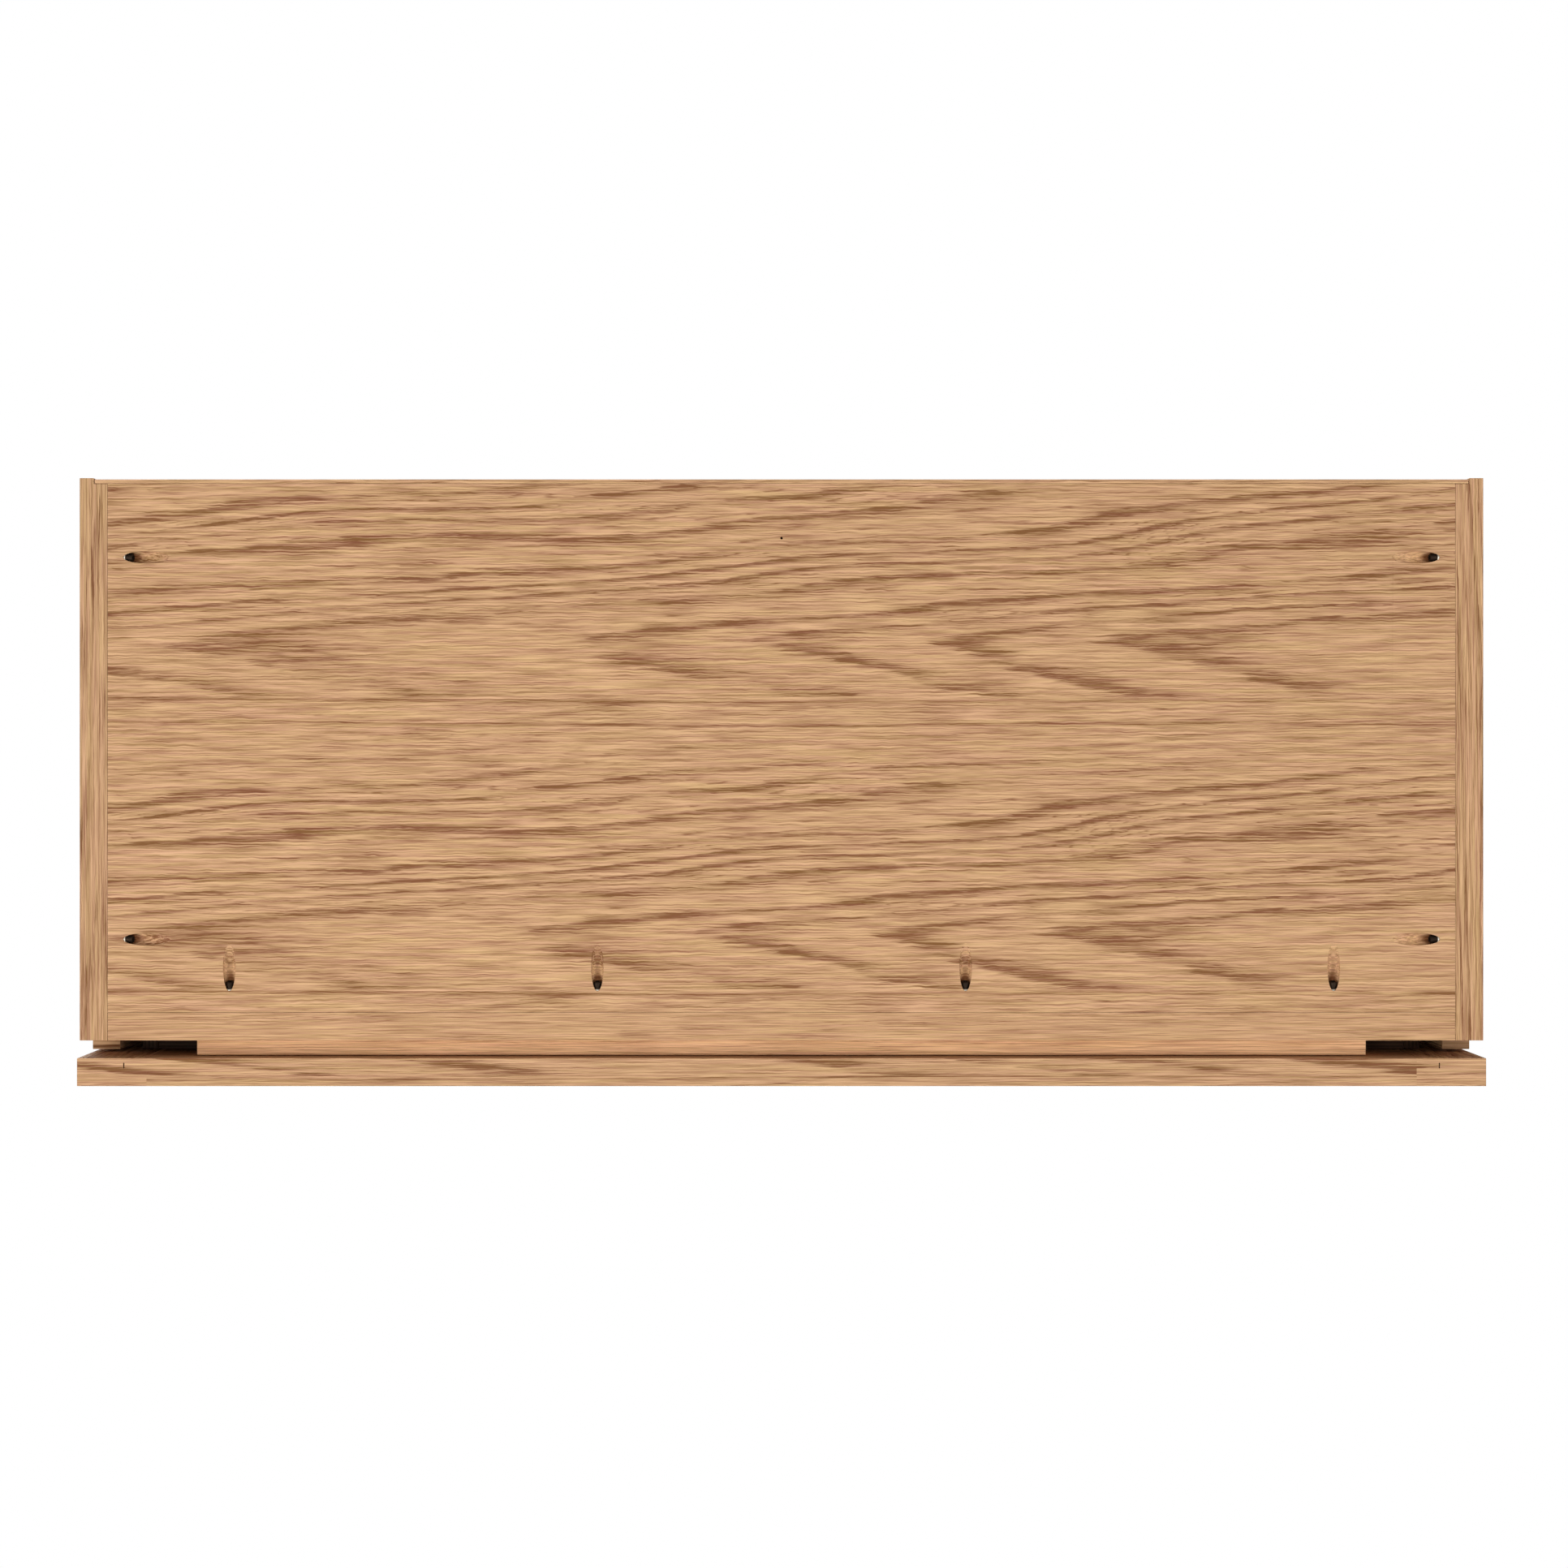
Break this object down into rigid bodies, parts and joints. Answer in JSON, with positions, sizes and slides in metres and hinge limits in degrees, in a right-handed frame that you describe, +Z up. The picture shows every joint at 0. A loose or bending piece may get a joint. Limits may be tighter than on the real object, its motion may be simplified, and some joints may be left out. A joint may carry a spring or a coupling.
{
  "type": "media cabinet",
  "caption": "Wall-hung oak media cabinet: open bay over a full-width drawer on telescopic runners, gripped from below.",
  "frame": {"origin": "on the back panel's rear face, at mid-width, on the hanging line in the middle of the upper hanging rail", "axes": "+X to the right seen from the front, +Y into the wall, +Z up; the drawer opens along -Y"},
  "size_m": [1.062, 0.4591, 0.4163],
  "materials": {
    "oak": "clear matt lacquer",
    "box_plywood": "dark brown stain under matt lacquer",
    "beech": "raw",
    "screw_steel": "black oxide, oiled",
    "runner_steel": "zinc plated",
    "cage_steel": "zinc plated",
    "grommet_plastic": "fine texture",
    "bumper_gel": "smooth"
  },
  "bodies": {
    "carcass": {"side_left": "oak", "side_right": "oak", "bottom_panel": "oak", "front_rail": "oak", "grip_batten": "oak", "top_slab": "oak", "bay_shelf": "oak", "back_panel": "oak", "hanging_rail_upper": "oak", "hanging_rail_lower": "oak", "bottom_screw_1": "screw_steel", "bottom_screw_2": "screw_steel", "bottom_screw_3": "screw_steel", "bottom_screw_4": "screw_steel", "bottom_screw_5": "screw_steel", "bottom_screw_6": "screw_steel", "bottom_screw_7": "screw_steel", "bottom_screw_8": "screw_steel", "shelf_screw_1": "screw_steel", "shelf_screw_2": "screw_steel", "shelf_screw_3": "screw_steel", "shelf_screw_4": "screw_steel", "top_dowel_left_1": "beech", "top_dowel_left_2": "beech", "top_dowel_left_3": "beech", "top_dowel_right_1": "beech", "top_dowel_right_2": "beech", "top_dowel_right_3": "beech", "cable_grommet_left": "grommet_plastic", "cable_grommet_right": "grommet_plastic", "runner_cabinet_left": "runner_steel", "runner_cabinet_right": "runner_steel"},
    "drawer": {"front_stile_left": "oak", "front_stile_right": "oak", "front_rail_bottom": "oak", "front_rail_top": "oak", "front_field": "oak", "box_side_left": "box_plywood", "box_side_right": "box_plywood", "box_front": "box_plywood", "box_back": "box_plywood", "box_floor": "box_plywood", "front_fixing_screw_1": "screw_steel", "front_fixing_screw_2": "screw_steel", "front_fixing_screw_3": "screw_steel", "front_fixing_screw_4": "screw_steel", "bumper_left": "bumper_gel", "bumper_right": "bumper_gel", "runner_drawer_left": "runner_steel", "runner_drawer_right": "runner_steel"},
    "runner_middle_left": {"runner_middle_left": "runner_steel"},
    "ball_cage_outer_left": {"ball_cage_outer_left": "cage_steel"},
    "ball_cage_inner_left": {"ball_cage_inner_left": "cage_steel"},
    "runner_middle_right": {"runner_middle_right": "runner_steel"},
    "ball_cage_outer_right": {"ball_cage_outer_right": "cage_steel"},
    "ball_cage_inner_right": {"ball_cage_inner_right": "cage_steel"}
  },
  "joints": [
    {"name": "drawer_slide", "type": "slide", "parent": "carcass", "child": "drawer", "axis": [0, -1, 0], "range_m": [0, 0.4]},
    {"name": "runner_middle_left_slide", "type": "slide", "parent": "carcass", "child": "runner_middle_left", "axis": [0, -1, 0], "range_m": [0, 0.2]},
    {"name": "ball_cage_outer_left_slide", "type": "slide", "parent": "carcass", "child": "ball_cage_outer_left", "axis": [0, -1, 0], "range_m": [0, 0.1]},
    {"name": "ball_cage_inner_left_slide", "type": "slide", "parent": "carcass", "child": "ball_cage_inner_left", "axis": [0, -1, 0], "range_m": [0, 0.3]},
    {"name": "runner_middle_right_slide", "type": "slide", "parent": "carcass", "child": "runner_middle_right", "axis": [0, -1, 0], "range_m": [0, 0.2]},
    {"name": "ball_cage_outer_right_slide", "type": "slide", "parent": "carcass", "child": "ball_cage_outer_right", "axis": [0, -1, 0], "range_m": [0, 0.1]},
    {"name": "ball_cage_inner_right_slide", "type": "slide", "parent": "carcass", "child": "ball_cage_inner_right", "axis": [0, -1, 0], "range_m": [0, 0.3]}
  ],
  "couplings": [
    {"joint": "runner_middle_left_slide", "follows": "drawer_slide", "ratio": 0.5},
    {"joint": "ball_cage_outer_left_slide", "follows": "drawer_slide", "ratio": 0.25},
    {"joint": "ball_cage_inner_left_slide", "follows": "drawer_slide", "ratio": 0.75},
    {"joint": "runner_middle_right_slide", "follows": "drawer_slide", "ratio": 0.5},
    {"joint": "ball_cage_outer_right_slide", "follows": "drawer_slide", "ratio": 0.25},
    {"joint": "ball_cage_inner_right_slide", "follows": "drawer_slide", "ratio": 0.75}
  ]
}
